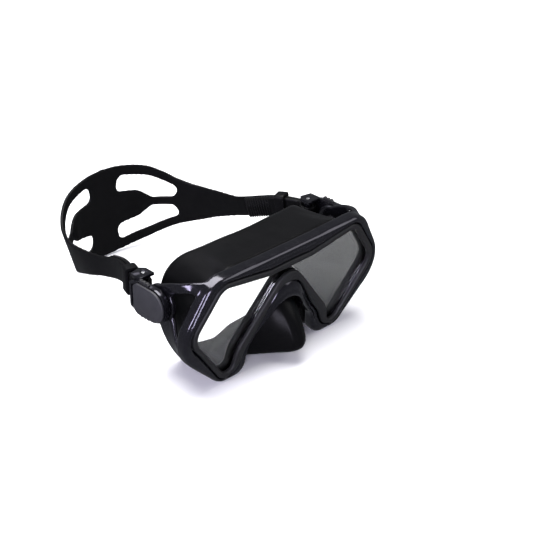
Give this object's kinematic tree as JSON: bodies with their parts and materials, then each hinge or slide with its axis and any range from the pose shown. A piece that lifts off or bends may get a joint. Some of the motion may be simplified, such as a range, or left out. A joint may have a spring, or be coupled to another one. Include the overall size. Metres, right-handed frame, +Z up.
{
  "type": "snorkel mask",
  "caption": "Adult diving and snorkel mask: one-piece glass lens in a gloss frame with side arms, black silicone skirt with nose pocket, swivel buckles and a split-pad head strap.",
  "frame": {"origin": "centre of the bounding box in plan, at the table the mask lies on", "axes": "+X to the wearer's left, -Y the way the lens faces, +Y towards the back of the strap, +Z up"},
  "size_m": [0.1726, 0.2082, 0.0847],
  "materials": {
    "lens_glass": "polished tempered glass",
    "bezel_plastic": "satin moulded",
    "frame_plastic": "high gloss moulded",
    "cover_plastic": "satin, fine grain",
    "skirt_silicone": "satin liquid silicone",
    "strap_silicone": "satin liquid silicone",
    "stainless_steel": "turned"
  },
  "bodies": {
    "frame_body": {"frame": "frame_plastic", "lens": "lens_glass", "lens_bezel": "bezel_plastic", "skirt": "skirt_silicone", "left_pivot_pin": "stainless_steel", "left_pivot_washer": "bezel_plastic", "right_pivot_pin": "stainless_steel", "right_pivot_washer": "bezel_plastic"},
    "strap": {"strap": "strap_silicone"},
    "left_buckle": {"left_buckle_base": "frame_plastic", "left_buckle_cover": "cover_plastic", "left_roller_axle": "stainless_steel", "left_button_spring": "stainless_steel"},
    "left_roller": {"left_strap_roller": "frame_plastic"},
    "left_upper_button": {"left_release_button_upper": "bezel_plastic"},
    "left_lower_button": {"left_release_button_lower": "bezel_plastic"},
    "left_keeper": {"left_strap_keeper": "strap_silicone"},
    "right_buckle": {"right_buckle_base": "frame_plastic", "right_buckle_cover": "cover_plastic", "right_roller_axle": "stainless_steel", "right_button_spring": "stainless_steel"},
    "right_roller": {"right_strap_roller": "frame_plastic"},
    "right_upper_button": {"right_release_button_upper": "bezel_plastic"},
    "right_lower_button": {"right_release_button_lower": "bezel_plastic"},
    "right_keeper": {"right_strap_keeper": "strap_silicone"}
  },
  "joints": [
    {"name": "strap_swing", "type": "hinge", "parent": "frame_body", "child": "strap", "pos_m": [0, -0.05315, 0.0588], "axis": [1, 0, 0], "range_deg": [-25, 65]},
    {"name": "left_buckle_swivel", "type": "hinge", "parent": "frame_body", "child": "left_buckle", "pos_m": [0.0816, -0.05315, 0.0588], "axis": [1, 0, 0], "range_deg": [-25, 65]},
    {"name": "left_roller_spin", "type": "hinge", "parent": "left_buckle", "child": "left_roller", "pos_m": [0.074, -0.03265, 0.0588], "axis": [0, 0, 1], "continuous": true},
    {"name": "left_upper_button_press", "type": "slide", "parent": "left_buckle", "child": "left_upper_button", "axis": [0, 0, -1], "range_m": [0, 0.0015], "stiffness_N_per_m": 600, "deforming": ["left_button_spring"]},
    {"name": "left_lower_button_press", "type": "slide", "parent": "left_buckle", "child": "left_lower_button", "axis": [0, 0, 1], "range_m": [0, 0.0015], "stiffness_N_per_m": 600},
    {"name": "left_keeper_slide", "type": "slide", "parent": "strap", "child": "left_keeper", "axis": [0.3586, -0.9268, 0.1114], "range_m": [-0.004, 0.003]},
    {"name": "right_buckle_swivel", "type": "hinge", "parent": "frame_body", "child": "right_buckle", "pos_m": [-0.0816, -0.05315, 0.0588], "axis": [1, 0, 0], "range_deg": [-25, 65]},
    {"name": "right_roller_spin", "type": "hinge", "parent": "right_buckle", "child": "right_roller", "pos_m": [-0.074, -0.03265, 0.0588], "axis": [0, 0, 1], "continuous": true},
    {"name": "right_upper_button_press", "type": "slide", "parent": "right_buckle", "child": "right_upper_button", "axis": [0, 0, -1], "range_m": [0, 0.0015], "stiffness_N_per_m": 600, "deforming": ["right_button_spring"]},
    {"name": "right_lower_button_press", "type": "slide", "parent": "right_buckle", "child": "right_lower_button", "axis": [0, 0, 1], "range_m": [0, 0.0015], "stiffness_N_per_m": 600},
    {"name": "right_keeper_slide", "type": "slide", "parent": "strap", "child": "right_keeper", "axis": [-0.3484, -0.9365, 0.0386], "range_m": [-0.004, 0.0005]}
  ],
  "couplings": [
    {"joint": "left_buckle_swivel", "follows": "strap_swing", "ratio": 1},
    {"joint": "right_buckle_swivel", "follows": "strap_swing", "ratio": 1}
  ]
}
